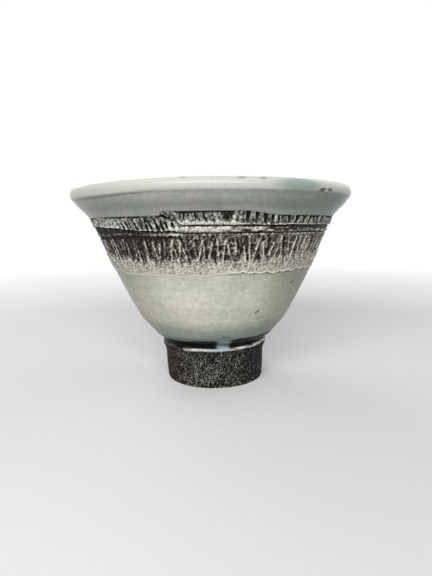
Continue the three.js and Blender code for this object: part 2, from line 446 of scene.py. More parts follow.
# %% Outline of the thrown bowl
BOWL_STEPS = 320
NECK_BOTTOM = FOOT_HEIGHT + SLIP
groove = [(0, NECK_BOTTOM), (36, NECK_BOTTOM)] + [(NECK_RADIUS, NECK_BOTTOM + 0.6 * i) for i in range(7)]
groove += [(38.4, 31.1), (38.9, 31.8), (39.8, 32.5), (41.0, 33.2), (42.3, 33.9), (43.5, 34.6), (44.5, 35.4)]
outside = [(WALL_START + i * 0.83, 0.0) for i in range(56)]
outside += [(SEAT_BOTTOM - 0.08, 0.0)] + [(SEAT_BOTTOM + i * 1.08, 1.0) for i in range(34)]
outside += [(SEAT_TOP, 0.15), (SEAT_TOP + 0.3, 0.0)] + [(SEAT_TOP + 0.8 + i * 0.75, 0.0) for i in range(16)]
outside += [(LIP_EDGE, 0.0)]
lip = [(99.2, 132.3), (99.6, 133.1), (99.9, 134.1)] + lip_roll() + smooth_line(INSIDE, 7)
outline = groove + [wall_point(height) for height, _ in outside] + lip
no_note = [-1.0] * len(groove)
heights = no_note + [height for height, _ in outside] + [-1.0] * len(lip)
seated = no_note + [share for _, share in outside] + [-1.0] * len(lip)
on_lip = [0.0] * (len(groove) + len(outside)) + [1.0] * len(lip)
bm = spun(outline, BOWL_STEPS, [("height", heights), ("seated", seated), ("lip", on_lip)])
print("the bowl's outline has", len(outline), "points")

# %% Seat, lip and drip of the thrown bowl
DRIP_ANGLE, DRIP_SPREAD = 9.5, 6.8
DRIP_LOW, DRIP_HIGH = 27.6, 44.0
height_note = bm.verts.layers.float["height"]
seat_note = bm.verts.layers.float["seated"]
lip_note = bm.verts.layers.float["lip"]
drip_note = bm.verts.layers.float.new("drip")
for vert in bm.verts:
    angle, radius = polar(vert)
    if radius < 1:
        continue
    level = vert.co.z
    if vert[height_note] > WALL_START:
        stations = [WALL_START, SEAT_BOTTOM, SEAT_TOP, LIP_EDGE]
        moved = [WALL_START, slab_bottom(angle), seat_top(angle), lip_edge(angle)]
        span = sum(vert[height_note] > station for station in stations[1:3])
        share = (vert[height_note] - stations[span]) / (stations[span + 1] - stations[span])
        height = moved[span] + (moved[span + 1] - moved[span]) * share
        radius, level = wall_point(height, -seat_depth(angle, height) * vert[seat_note])
    elif vert[lip_note] == 1 and radius > 99:
        level -= (LIP_EDGE - lip_edge(angle)) * (1 - rise(level, LIP_EDGE, RIM_HEIGHT))
    radius += unevenness(vert, 0.28, 2.0)
    if DRIP_LOW < level < DRIP_HIGH and radius > NECK_RADIUS - 1:
        wander = 2 * noise.noise(Vector((level * 0.4, 5.0, 0)))
        run = math.exp(-(((angle - DRIP_ANGLE - wander) / DRIP_SPREAD) ** 2))
        run *= rise(level, DRIP_LOW, 28.5) * (1 - rise(level, 38, DRIP_HIGH))
        thickness = 0.5 + 1.3 * rise(level, 29, 32) * (1 - rise(level, 33, 36))
        radius += run * thickness * (1 - rise(level, 34, 38))
        vert[drip_note] = run
    set_polar(vert, angle, radius, level)
bowl = finished(bm, "glazed_bowl", ["thrown_bowl"])

# %% [markdown]
# ## The foot ring
# The foot is thrown as a separate hollow ring of dark, gritty clay. A knife dragged down it leaves
# flats and torn grit, which are pressed into the mesh as noise, some of it stretched along the height.

# %% Foot ring
BORE_RADIUS = 30.0
FOOT_STEPS = 380
outline = [(BORE_RADIUS, 0.35), (30.6, 0)] + [(31.5 + i * 0.5, 0) for i in range(9)] + [(35.9, 0)]
outline += smooth_line([(36.2, 0.4), (36.9, 9), (37.3, 19), (38, 24), (39.3, FOOT_HEIGHT - 0.8)], 18)
outline += [(39.1, FOOT_HEIGHT - 0.3), (38.6, FOOT_HEIGHT), (31, FOOT_HEIGHT), (30.4, 24), (30.2, 12)]
bm = spun(outline + [outline[0]], FOOT_STEPS)
for vert in bm.verts:
    angle, radius = polar(vert)
    if radius < 33 or radius < 36 and vert.co.z < 0.1:
        continue
    chatter = noise.noise(Vector((vert.co.x * 0.45, vert.co.y * 0.45, vert.co.z * 0.1)))
    torn = abs(noise.noise(vert.co * 0.75)) + 0.6 * abs(noise.noise(vert.co * 1.6))
    set_polar(vert, angle, radius + 0.16 * chatter + 0.45 * torn - 0.36, vert.co.z)
foot = finished(bm, "dark_foot", ["foot_ring"])

# %% [markdown]
# ## The luting bead
# Where the bowl meets its foot a soft coil of clay is pressed in to lute them. Glaze caught on part
# of it, and the drip ran over it, so each vertex notes how pale it is and how much of the drip it has.

# %% Luting bead
BEAD_RADIUS, BEAD_HEIGHT = 38.7, FOOT_HEIGHT + 1.5
BEAD_DEPTH, BEAD_HALF = 1.85, 1.15
BEAD_STEPS = 300
bead_line = []
for i in range(17):
    turn = math.radians(-90 + 180 * i / 16)
    bead_line.append((
        BEAD_RADIUS + BEAD_DEPTH * math.cos(turn),
        BEAD_HEIGHT + BEAD_HALF * math.sin(turn),
    ))
bm = spun(bead_line + [bead_line[0]], BEAD_STEPS)
pale_note = bm.verts.layers.float.new("pale")
drip_note = bm.verts.layers.float.new("drip")
for vert in bm.verts:
    angle, radius = polar(vert)
    patches = noise.noise(Vector((angle * 0.12, vert.co.z * 0.6, 4.0)))
    glazed = rise(angle, -40, -24) * (1 - 0.1 * rise(angle, 14, 24)) if abs(angle) < 90 else 0.5
    vert[pale_note] = min(max(glazed * 0.75 + 0.8 * patches, 0.0), 1)
    vert[drip_note] = math.exp(-(((angle - DRIP_ANGLE + 4) / 12) ** 4))
    flattened = 0.9 * (1 - rise(angle, -46, -24)) + 0.6 * rise(angle, 44, 60) if abs(angle) < 90 else 0.5
    radius += unevenness(vert, 0.5, 7.0) + 0.25 * vert[drip_note] - flattened
    set_polar(vert, angle, radius, vert.co.z + 0.5 * math.sin(math.radians(angle)))
bead = finished(bm, "joint_bead", ["luting_bead"])

# %% [markdown]
# ## Laid-on pieces
# Strips, coils and slabs are swept: the face of a thin section goes round the wall for as far as the
# piece is long. Each vertex notes how high up the section it sits, so a relief can then be pressed in
# by saying how far the clay stands proud of the wall there, and how pale the glaze breaks on it. The
# back has rows of its own, because a single long face would cut through the front where the seat bends.

# %% Sweep round the wall
BUTT_GAP = 0.12
BACK = 10.0
BACK_ROWS = 12
START_RADIUS = 100.0
BAND_RADIUS = 85.0


def laid_piece(name, node, span, rows, step, shape):
    """Sweeps a section with so many rows over a span of degrees and shapes it."""
    start, end = span
    bm = bmesh.new()
    share_note = bm.verts.layers.float.new("share")
    pale_note = bm.verts.layers.float.new("pale")
    ring = []
    for i in range(rows + 1):
        vert = bm.verts.new((0, -START_RADIUS - 2, i))
        vert[share_note] = i / rows
        ring.append(vert)
    for i in range(BACK_ROWS, -1, -1):
        vert = bm.verts.new((0, -START_RADIUS, rows * i / BACK_ROWS))
        vert[share_note] = i / BACK_ROWS + BACK
        ring.append(vert)
    section = bm.faces.new(ring)
    turn = Matrix.Rotation(math.radians(start), 3, "Z")
    bmesh.ops.rotate(bm, verts=bm.verts, cent=(0, 0, 0), matrix=turn)
    bmesh.ops.spin(
        bm, geom=[section], cent=(0, 0, 0), axis=(0, 0, 1), angle=math.radians(end - start),
        steps=round(math.radians(end - start) * BAND_RADIUS / step),
    )
    for vert in bm.verts:
        angle, _ = polar(vert)
        while angle < start - 0.01:
            angle += 360
        behind = vert[share_note] >= BACK
        up = vert[share_note] - BACK if behind else vert[share_note]
        place, height, proud, tone = shape(angle, up)
        bed = SLIP - seat_depth(place, height)
        radius, level = wall_point(height, bed if behind else max(proud, bed + 0.1))
        vert[pale_note] = min(max(tone, 0.0), 1.0)
        set_polar(vert, place, radius, level)
    bmesh.ops.recalc_face_normals(bm, faces=bm.faces)
    return finished(bm, name, [node])


def wave(angle, seed):
    """A smooth hand-made sway in -1..1 along the angle."""
    turn = math.radians(angle)
    return 0.6 * math.sin(5 * turn + 2.1 * seed) + 0.4 * math.sin(13 * turn + 4.7 * seed)


GRAIN_RADIUS = 80.0


def grain(angle, height, scale, seed):
    """Noise on the wall's surface in about -1..1. The scale is in bumps for each millimetre."""
    turn = math.radians(angle)
    spot = Vector((GRAIN_RADIUS * math.sin(turn), -GRAIN_RADIUS * math.cos(turn), height)) * scale
    return noise.noise(spot + Vector((seed, seed, seed)))


def worm(angle, height, scale, width, seed):
    """A net of winding ridges, 1 on the crest of a ridge and 0 off it."""
    return max(0.0, 1 - abs(grain(angle, height, scale, seed)) / width)


print("the slabs start at a radius of", round(wall_point(SEAT_BOTTOM)[0], 1), "mm")

# %% [markdown]
# ## Chopped strips
# Six strips lie end to end under the flare. Each was chopped across with the edge of a stick. That
# leaves mottled crests with a dark wedge between them, and pushes a ragged burr out along the lower
# edge, where the glaze breaks white. The short strip at the front is set higher than its left
# neighbour, whose end is tucked under it.

# %% Chops
def chops(first, last, pitch, widest, seed):
    """Chops of a strip: middle, half width, lean in degrees, lower end as a share, and depth."""
    rng = random.Random(seed)
    found = []
    middle = first + pitch * 0.6
    while middle < last - 0.6:
        found.append((
            middle, widest * rng.uniform(0.7, 1.1), rng.uniform(-0.7, 0.7), rng.uniform(0.1, 0.34),
            rng.uniform(0.75, 1.1),
        ))
        middle += pitch * rng.uniform(0.78, 1.2)
    return found


def chopped(marks, angle, up):
    """How deep a chop is at a spot, and how near the raised edge beside it is, both in 0..1."""
    deep, edge = 0.0, 0.0
    for middle, half, lean, low, depth in marks:
        if abs(angle - middle) > 6:
            continue
        off = abs(angle - middle - lean * (0.5 - up)) / (half * (0.5 + 0.65 * up))
        reach = rise(up, low, low + 0.2)
        if off < 1:
            deep = max(deep, depth * reach * (1 - off**3))
        elif off < 2:
            edge = max(edge, reach * (2 - off))
    return deep, edge


# %% Places of the strips
STRIPS = [
    {
        "start": -79, "bottoms": (113.5, 110.3), "slant": 2.6,
        "runs": [(-79, -42, 3.0, 0.4), (-42, -12, 2.4, 0.8)],
    },
    {
        "start": -18.2, "bottoms": (113.8, 113.7), "slant": 1.0,
        "runs": [(-12, 3, 4.2, 0.45), (9, 14, 3, 0.5)],
    },
    {
        "start": 10, "bottoms": (113.7, 113.7), "slant": 0.6,
        "runs": [(12, 30, 3.1, 0.85), (30, 77, 3.5, 1.15)],
    },
    {"start": 77, "bottoms": (113.7, 113.7), "slant": -1.2, "runs": [(77, 131, 3.0, 0.7)]},
    {"start": 131, "bottoms": (113.7, 113.4), "slant": 0.8, "runs": [(131, 202, 2.9, 0.7)]},
    {"start": 202, "bottoms": (113.4, 113.5), "slant": 2.2, "runs": [(202, 281, 3.0, 0.6)]},
]
FIRST_STRIP_END = -10.0
SUNK_CHOP = (6.4, 2.4, 0.2, 0.3, 0.3)


def first_top(angle):
    """The first strip's upper edge falls away below the corner of its right neighbour."""
    return min(seat_top(angle) - 0.05, 118.2 - 0.33 * (angle + 19), 116.5 - 0.9 * (angle + 14))


print(len(STRIPS), "strips start at", [strip["start"] for strip in STRIPS], "degrees")

# %% Chopped strips
STRIP_ROWS, STRIP_STEP = 26, 0.32
CHOP_DEPTH, UNDERCUT_DEPTH = 1.45, 1.1
for i, strip in enumerate(STRIPS):
    follower = STRIPS[(i + 1) % len(STRIPS)]
    start = strip["start"]
    end = FIRST_STRIP_END if i == 0 else (follower["start"] - start) % 360 + start - BUTT_GAP
    marks = [SUNK_CHOP] if i == 1 else []
    for k, (first, last, pitch, widest) in enumerate(strip["runs"]):
        marks += chops(first, last, pitch, widest, 40 + 7 * i + k)

    def notched(angle, up):
        run = (angle - start) / (end - start)
        slant = strip["slant"] + (follower["slant"] - strip["slant"]) * run
        low, high = strip["bottoms"]
        bottom = low + (high - low) * rise(run, 0.2, 0.92)
        bottom += 0.2 * wave(3 * angle, i) + 0.25 * grain(angle, 0, 0.5, i)
        top = seat_top(angle) - 0.05
        if i == 0:
            top = first_top(angle)
        elif i == 1:
            bottom = min(max(bottom, 120.5 - 0.94 * (angle - start)), top - 0.4)
        height = bottom + (top - bottom) * up
        inner = min(1.0, 10 * min(run, 1 - run))
        deep, edge = chopped(marks, angle, 1 - up if i == 0 else up)
        streak = grain(1.8 * (angle + slant * up), 0.5 * height, 0.5, i)
        rough = 0.45 * grain(angle, height, 0.7, i) + 0.5 * grain(angle, height, 1.4, i) + 0.5 * streak
        thick = rise(angle, -20, -16) * (1 - rise(angle, 8, 15))
        width = (0.5 + 1.1 * thick) * (1 + 0.7 * grain(angle, 0, 0.35, 12))
        burr = rise(height - bottom, 0, 0.4) * (1 - rise(height - bottom, width, 1.7 * width))
        burr *= (1 - rise(bottom, 114.6, 115.4)) * (1 - 0.6 * rise(abs(around(angle)), 50, 70))
        proud = 0.1 - 0.4 * rise(up, 0.25, 1) + 0.4 * burr - 0.4 * (1 - rise(up, 0, 0.06))
        if i == 1:
            parted = rise(angle, -13, -11) * (1 - rise(angle, 8.3, 9))
        else:
            parted = rise(abs(angle), 24, 32) * rise(grain(angle, 0, 0.11, 8), -0.3, 0.1)
        # Along the strip's top, under the flare, the recess is real, but its near-black tone is painted
        # shadow.
        recess_and_shadow = parted * rise(up + 0.06 * wave(4 * angle, 2), 0.84, 0.92)
        proud += 0.2 * rough + 0.15 * edge
        proud -= CHOP_DEPTH * deep * (1 - 0.8 * burr) + UNDERCUT_DEPTH * recess_and_shadow
        tone = 0.33 + 0.7 * rough + 0.25 * edge + 0.4 * burr
        # The last term darkens that recess under the flare as painted shadow.
        tone += -1.3 * deep * (1 - 0.8 * burr) - 1.1 * recess_and_shadow
        tone += 0.14 * rise(-angle, 24, 44) - 0.5 * (1 - rise(up, 0, 0.05))
        return angle + inner * slant * (0.5 - up), height, proud, tone

    laid_piece(
        f"chopped_strip_{i + 1}", f"notched_strip_{i + 1}",
        (start, end), STRIP_ROWS, STRIP_STEP, notched,
    )

# %% [markdown]
# ## The rough coil
# Under all strips but the first and the last runs a thin coil, pinched on in lengths. Its edges
# wander, and its top is torn into small knobs that the glaze leaves white.

# %% Rough coil
COIL_HEIGHT, COIL_HALF = 111.1, 1.8
COIL_ROWS, COIL_STEP = 16, 0.36
COIL_STARTS = [-12.3, 62, 130, 200]
for i in range(3):
    start, end = COIL_STARTS[i], COIL_STARTS[i + 1] - BUTT_GAP

    def pinched(angle, up):
        half = COIL_HALF + 0.12 * wave(3 * angle, i) + 0.2 * grain(angle, 0, 0.35, i)
        half += 0.3 * rise(angle, 48, 62) * (1 - rise(angle, 85, 100))
        height = COIL_HEIGHT + 0.15 * wave(angle, i + 1) + half * (2 * up - 1)
        round_off = math.sqrt(max(0.0, 1 - abs(2 * up - 1) ** 2.4))
        torn = 0.7 * grain(angle, height, 0.6, i) + 0.7 * grain(angle, height, 1.5, i)
        drawn = grain(0.35 * angle, 1.6 * height, 0.6, i) * rise(angle, 4, 20)
        furrow = rise(angle, 18, 32) * rise(up + 0.25 * grain(angle, 0, 0.1, 4), 0.42, 0.62)
        furrow *= 1 - rise(up, 0.86, 0.97)
        smeared = rise(angle, 5, 8) * (1 - rise(angle, 13, 18))
        taper = rise(angle, start, start + 3)
        proud = -0.8 + taper * (0.8 + 0.3 * torn + 0.3 * drawn - 0.6 * furrow) * round_off
        tone = 0.3 + 0.4 * round_off + 0.6 * torn + 0.8 * drawn - 0.6 * furrow - 0.32 * rise(angle, 10, 25)
        return angle, height, proud, tone - 0.25 * smeared

    laid_piece(
        f"rough_coil_{i + 1}", f"ridge_coil_{i + 1}",
        (start, end), COIL_ROWS, COIL_STEP, pinched,
    )

# %% [markdown]
# ## Scored slabs
# Five slabs make the broad dark part of the band. Slip was dragged over them in thin strokes to and
# fro, some of which cut in. Iron shows dark in the hollows, the glaze breaks white on every ridge,
# and lower down it covers the slab and runs on into the wall's own glaze. At the right it gathered
# in round lobes with a thick pale rim. Along one side of each raised stroke a shallow groove is
# darkened as a painted shadow.

# %% Strokes
STROKE_LOW, STROKE_HIGH = (88.5, 95.5), (103.5, 108.4)
STROKE_WIDTH = 0.55
STROKE_GAP = (1.4, 3.0)
LEAN_HEIGHT, LEAN_LENGTH = 98, 24
MM_PER_DEGREE = 1.36


def strokes_between(start, end, seed):
    """Strokes of a slab: middle and lean in degrees, heights of its ends, and strength, below 0 for a
    sunken stroke.
    """
    rng = random.Random(seed)
    found = []
    middle = start + 0.8
    side = 1
    while middle < end - 0.8:
        low, high = rng.uniform(*STROKE_LOW), rng.uniform(*STROKE_HIGH)
        side = rng.choice((side, -side, -side))
        strength = rng.uniform(0.65, 1.0) * (1 if rng.random() < 0.68 else -1)
        found.append((middle, side * rng.uniform(0.8, 5.2), low, high, strength))
        middle += rng.uniform(*STROKE_GAP)
    return found


def stroked(strokes, angle, height):
    """How near a raised stroke is to a spot, and how near a sunken stroke is, both in 0..1. The second
    value also holds a shallow groove along one side of every raised stroke, which darkens the glaze as a
    painted shadow.
    """
    raised, sunk_and_shadow = 0.0, 0.0
    for middle, lean, low, high, strength in strokes:
        if abs(angle - middle) > 6 or not low < height < high:
            continue
        off = (angle - middle - lean * (height - LEAN_HEIGHT) / LEAN_LENGTH) * MM_PER_DEGREE
        ends = abs(strength) * rise(height, low, low + 1.5) * (1 - rise(height, high - 1.2, high))
        line = ends * math.exp(-((off / STROKE_WIDTH) ** 2))
        if strength > 0:
            raised = max(raised, line)
            # Painted shadow: a shallow groove along one side of each raised stroke, darkened as the
            # stroke's shadow.
            sunk_and_shadow = max(sunk_and_shadow, 0.7 * ends * math.exp(-(((off - 1.25) / STROKE_WIDTH) ** 2)))
        else:
            sunk_and_shadow = max(sunk_and_shadow, line)
    return raised, sunk_and_shadow


def near(value, middle, reach):
    """1 at the middle and 0 from so far away on."""
    return 1 - rise(abs(value - middle), 0, reach)


# %% Scored slabs
SLAB_TOP = 108.6
SLAB_STARTS = [-97, -18, 63, 129, 196, 263]
SLAB_ROWS, SLAB_STEP = 70, 0.38
LOBE_PITCH, LOBE_LIFT = 7.0, 1.5
PALE_EDGE = 93.3
LEDGE, LEFT_LINE, LEFT_LEDGE = 108.1, 106.0, 108.2
for i in range(5):
    start, end = SLAB_STARTS[i], SLAB_STARTS[i + 1] - BUTT_GAP
    strokes = strokes_between(start, end, 70 + i)
    print("slab", i + 1, "gets", len(strokes), "strokes")

    def scored(angle, up):
        lobed = one_side(angle, 2, 12)
        scallop = 2 * ((angle + 2 * wave(angle, 2)) / LOBE_PITCH % 1) - 1
        bottom = slab_bottom(angle) + LOBE_LIFT * lobed * (1 - math.sqrt(1 - 0.95 * scallop**2))
        top = SLAB_TOP + (bare_edge(angle) - 0.25 - SLAB_TOP) * bare(angle)
        height = bottom + (top - bottom) * up
        torn = 3.4 * grain(angle, 0.12 * height, 0.5, 2) + 1.2 * grain(angle, height, 0.8, 2)
        edge = PALE_EDGE + 2 * one_side(angle, 15, 36) + 0.6 * one_side(-angle, 20, 50) + torn
        pale_zone = 1 - rise(height, edge - 2.2, edge + 2)
        # The second value darkens the tone below, partly as painted shadow beside the raised strokes.
        ridge, sunk_and_shadow = stroked(strokes, angle, height)
        net = worm(angle, 0.6 * height, 0.42, 0.26, 1)
        fine = grain(angle, height, 1.3, 7)
        ridge *= 0.95 + 0.4 * fine
        streak = one_side(-angle, 36, 55) * grain(2.5 * angle, 0.3 * height, 0.7, 9)
        pits = rise(grain(angle, height, 0.8, 5), 0.15, 0.45) * rise(height, edge - 7, edge - 2)
        rim = lobed * near(height, bottom + 0.6, 1.0)
        sway = 0.6 * wave(angle, 5)
        ledge = one_side(angle + 20, 0, 6) * near(height, LEDGE, 0.5)
        left_line = bare(angle) * near(height, LEFT_LINE + sway, 1.0)
        left_ledge = bare(angle) * near(height, LEFT_LEDGE + sway, 1.0)
        proud = -0.6 + 0.55 * pale_zone + 0.6 * ridge - 0.45 * sunk_and_shadow + 0.25 * net + 0.12 * fine
        proud += 0.3 * streak - 0.3 * pits + 0.3 * rim + 0.3 * ledge - 0.6 * left_line + 0.3 * left_ledge
        dark_tone = 0.1 + 0.42 * net + 0.6 * ridge - 0.4 * sunk_and_shadow + 0.3 * fine
        dark_tone += 0.08 * one_side(angle, 10, 40) - 0.14 * one_side(-angle, 12, 35)
        dark_tone -= 0.18 * one_side(-angle, 19, 28) * rise(height, 104, 106)
        pale_tone = 0.6 + 0.24 * net + 0.3 * ridge - 0.45 * sunk_and_shadow - 0.35 * pits + 0.26 * fine
        tone = dark_tone + (pale_tone - dark_tone) * pale_zone + 0.4 * streak
        tone += 0.5 * rim + 0.25 * ledge - 0.5 * left_line + 0.4 * left_ledge
        melt = (1 - lobed) * (1 - rise(height - bottom, 0.3, 2.5))
        return angle, height, proud + (-0.08 - proud) * melt, tone + (0.9 - tone) * melt

    laid_piece(
        f"brushed_slab_{i + 1}", f"scored_slab_{i + 1}",
        (start, end), SLAB_ROWS, SLAB_STEP, scored,
    )

# %% [markdown]
# ## Finishes
# One glaze covers the bowl. It lies cream where it is thick, green-grey where it is thin, and breaks
# to the iron-dark clay in hollows. So the band reads the paleness that its relief was given. Three
# effects are used by more than one finish, and each is a node group: a net of fine lines, dark specks
# over a colour, and the breaking glaze itself.

# %% Node helpers
COAT_ROUGHNESS = 0.12


def finish(name, roughness, gloss):
    """A new material and its Principled shader, with the plain values that are the same all over."""
    material = bpy.data.materials.new(name)
    material.use_nodes = True
    shader = material.node_tree.nodes["Principled BSDF"]
    shader.inputs["Roughness"].default_value = roughness
    shader.inputs["Specular IOR Level"].default_value = gloss
    shader.inputs["Coat Roughness"].default_value = COAT_ROUGHNESS
    return material, material.node_tree, shader


def colour(red, green, blue):
    """A colour written as on a screen, 0 to 255, given to the shader as light."""
    shares = [value / 255 for value in (red, green, blue)]
    return [((s + 0.055) / 1.055) ** 2.4 if s > 0.04 else s / 12.92 for s in shares] + [1]


def object_place(tree, stretch=(1, 1, 1)):
    """Object coordinates, stretched by a Mapping node where a pattern needs it."""
    place = tree.nodes.new("ShaderNodeTexCoord").outputs["Object"]
    if stretch == (1, 1, 1):
        return place
    mapping = tree.nodes.new("ShaderNodeMapping")
    mapping.inputs["Scale"].default_value = stretch
    put(tree, mapping.inputs["Vector"], place)
    return mapping.outputs["Vector"]


def noise_value(tree, place, scale, detail=3.0, roughness=0.55):
    """Noise in 0..1 at a place. The scale is in bumps for each metre."""
    texture = tree.nodes.new("ShaderNodeTexNoise")
    put(tree, texture.inputs["Vector"], place)
    put(tree, texture.inputs["Scale"], scale)
    texture.inputs["Detail"].default_value = detail
    texture.inputs["Roughness"].default_value = roughness
    return texture.outputs["Fac"]


def attribute(tree, name):
    """Reads a float layer of the piece that wears the material."""
    node = tree.nodes.new("ShaderNodeAttribute")
    node.attribute_name = name
    return node.outputs["Fac"]


def bumped(tree, shader, height, distance):
    """Fine relief of a depth in metres."""
    node = tree.nodes.new("ShaderNodeBump")
    node.inputs["Strength"].default_value = 1
    node.inputs["Distance"].default_value = distance
    put(tree, node.inputs["Height"], height)
    put(tree, shader.inputs["Normal"], node.outputs["Normal"])


print("a middle grey is given as", round(colour(128, 128, 128)[0], 3))

# %% [markdown]
# A node group is a small node tree with sockets of its own, which interface.new_socket makes. Each
# material that places the group gives its inputs values of its own.

# %% Node groups
def new_group(name, inputs, outputs):
    """A new shader node group, with the sockets of its input node and of its output node."""
    group = bpy.data.node_groups.new(name, "ShaderNodeTree")
    for side, sockets in (("INPUT", inputs), ("OUTPUT", outputs)):
        for socket_name, kind in sockets:
            group.interface.new_socket(socket_name, in_out=side, socket_type=f"NodeSocket{kind}")
    given = group.nodes.new("NodeGroupInput").outputs
    result = group.nodes.new("NodeGroupOutput").inputs
    return group, given, result


def placed(tree, group, **values):
    """Places a group in a tree and feeds its inputs, named with _ for a space."""
    node = tree.nodes.new("ShaderNodeGroup")
    node.node_tree = group
    for name, value in values.items():
        put(tree, node.inputs[name.replace("_", " ")], value)
    return node.outputs


fine_net, given, result = new_group(
    "fine net", [("Vector", "Vector"), ("Scale", "Float"), ("Width", "Float")], [("Mask", "Float")],
)
lines = maths(fine_net, "SUBTRACT", noise_value(fine_net, given["Vector"], given["Scale"], 1.5), 0.5)
lines = maths(fine_net, "ABSOLUTE", lines)
put(fine_net, result["Mask"], graded(fine_net, lines, 0.0, given["Width"], 1.0, 0.0))

speckled, given, result = new_group(
    "specks", [("Vector", "Vector"), ("Color", "Color"), ("Amount", "Float")], [("Color", "Color")],
)
dots = noise_value(speckled, given["Vector"], 520.0, 2.0, 0.6)
dots = graded(speckled, maths(speckled, "ADD", dots, given["Amount"]), 0.78, 0.84, 0.0, 0.6)
put(speckled, result["Color"], blended(speckled, dots, given["Color"], colour(84, 84, 78)))

breaking_glaze, given, result = new_group(
    "breaking glaze",
    [("Vector", "Vector"), ("Tone", "Float"), ("Dark", "Color"), ("Middle", "Color"), ("Light", "Color")],
    [("Color", "Color"), ("Height", "Float")],
)
crumb = noise_value(breaking_glaze, given["Vector"], 850.0, 3.0, 0.65)
tone = maths(breaking_glaze, "MULTIPLY_ADD", crumb, 0.7, -0.35)
tone = maths(breaking_glaze, "ADD", tone, given["Tone"])
lower_share = graded(breaking_glaze, tone, 0.08, 0.45)
lower_half = blended(breaking_glaze, lower_share, given["Dark"], given["Middle"])
upper_share = graded(breaking_glaze, tone, 0.42, 0.85)
put(breaking_glaze, result["Color"], blended(breaking_glaze, upper_share, lower_half, given["Light"]))
put(breaking_glaze, result["Height"], crumb)
print("groups:", fine_net.name, speckled.name, breaking_glaze.name)

# %% [markdown]
# ## Glaze on the bowl
# Height decides most: bare glassy black in the groove, thin blue-green glaze at the start of the
# wall, cream over the bulge, grey on the flare and paler again on the lip, whose crisp step from the
# flare is partly painted light. Clouds, throwing lines and specks go over it, and the side turned from
# the fire is greener.

# %% Colours by height
RAMP_LOW, RAMP_HIGH = 35.0, HEIGHT
GLAZE_LEVELS = [
    (36.2, colour(116, 130, 124)), (38.5, colour(178, 190, 184)), (44, colour(202, 208, 197)),
    (52, colour(240, 236, 218)), (70, colour(250, 247, 231)), (82, colour(234, 233, 219)),
    (119, colour(200, 203, 197)), (132, colour(196, 200, 194)),
]


def level_colour(tree, height, levels):
    """A colour ramp over the height in metres, with its stops given in millimetres."""
    node = tree.nodes.new("ShaderNodeValToRGB")
    band = node.color_ramp
    while len(band.elements) < len(levels):
        band.elements.new(0.5)
    for element, (level, shade) in zip(band.elements, levels):
        element.position = (level - RAMP_LOW) / (RAMP_HIGH - RAMP_LOW)
        element.color = shade
    put(tree, node.inputs["Fac"], graded(tree, height, RAMP_LOW * MM, RAMP_HIGH * MM))
    return node.outputs["Color"]


print(len(GLAZE_LEVELS), "colours from", RAMP_LOW, "to", RAMP_HIGH, "mm")

# %% [markdown]
# Single marks sit on the lip and the wall: a pool of copper green, iron spots and thin places. Each
# is a soft-edged oval with a centre, a tilt, a size in millimetres and a colour.

# %% Marks
MARKS = [
    ((51, -86, 135.4), 0, (23, 18, 4.4), colour(142, 163, 155)),
    ((29.5, -53.5, 58), 40, (3.0, 3, 0.8), colour(70, 72, 66)),
    ((52.8, -45.3, 76.3), 30, (2.4, 3, 0.7), colour(66, 68, 62)),
    ((64.9, -75.3, 133.2), 12, (4.4, 4, 1.3), colour(62, 66, 60)),
    ((70.4, -70.1, 133.5), -8, (3.6, 4, 1.2), colour(58, 62, 56)),
    ((17.2, -97, 138.2), 5, (3.0, 4, 1.2), colour(158, 158, 146)),
    ((28.6, -94, 138.1), -5, (2.6, 4, 1.2), colour(150, 158, 148)),
    ((-13.7, -96.5, 138.8), 0, (3.4, 3, 0.8), colour(140, 138, 126)),
]


def mark(tree, place, centre, tilt, size):
    """A soft-edged spot of a size in millimetres, tilted in the front view."""
    spot = tree.nodes.new("ShaderNodeMapping")
    spot.vector_type = "TEXTURE"
    spot.inputs["Location"].default_value = Vector(centre) * MM
    spot.inputs["Rotation"].default_value = (0, -math.radians(tilt), 0)
    spot.inputs["Scale"].default_value = Vector(size) * MM
    put(tree, spot.inputs["Vector"], place)
    distance = tree.nodes.new("ShaderNodeVectorMath")
    distance.operation = "LENGTH"
    put(tree, distance.inputs[0], spot.outputs["Vector"])
    return graded(tree, distance.outputs["Value"], 0.45, 1.0, 0.9, 0.0)


print(len(MARKS), "marks")

# %% [markdown]
# The glaze is built up in layers, each a Mix over the one before: clouds and mottling multiply the
# colour, the side turned from the fire is greener, both sides of the wall are darkened as painted
# shade where they turn from the light, and specks, groove, seat and drip come last.

# %% Glaze on the bowl
glaze, tree, shader = finish("pale_glaze_finish", 0.4, 0.12)
place = object_place(tree)
split = tree.nodes.new("ShaderNodeSeparateXYZ")
put(tree, split.inputs[0], place)
wander = maths(tree, "MULTIPLY_ADD", noise_value(tree, place, 120.0), 0.003, -0.0015)
height = maths(tree, "ADD", split.outputs["Z"], wander)
body = level_colour(tree, split.outputs["Z"], GLAZE_LEVELS)
cloud = graded(tree, noise_value(tree, place, 45.0), 0.35, 0.7, 0.0, 0.8)
body = blended(tree, cloud, body, colour(226, 234, 231), "MULTIPLY")
mottling = graded(tree, noise_value(tree, place, 330.0), 0.3, 0.7)
body = blended(tree, mottling, body, colour(226, 230, 228), "MULTIPLY")
green_side = graded(tree, split.outputs["X"], 0.015, 0.075, 0.0, 0.9)
body = blended(tree, green_side, body, colour(216, 230, 226), "MULTIPLY")
# The lip and the inside are paler. At the lip's lower edge this step is partly painted light, the lit lip
# against the shaded flare.
body = blended(tree, attribute(tree, "lip"), body, colour(204, 207, 198))
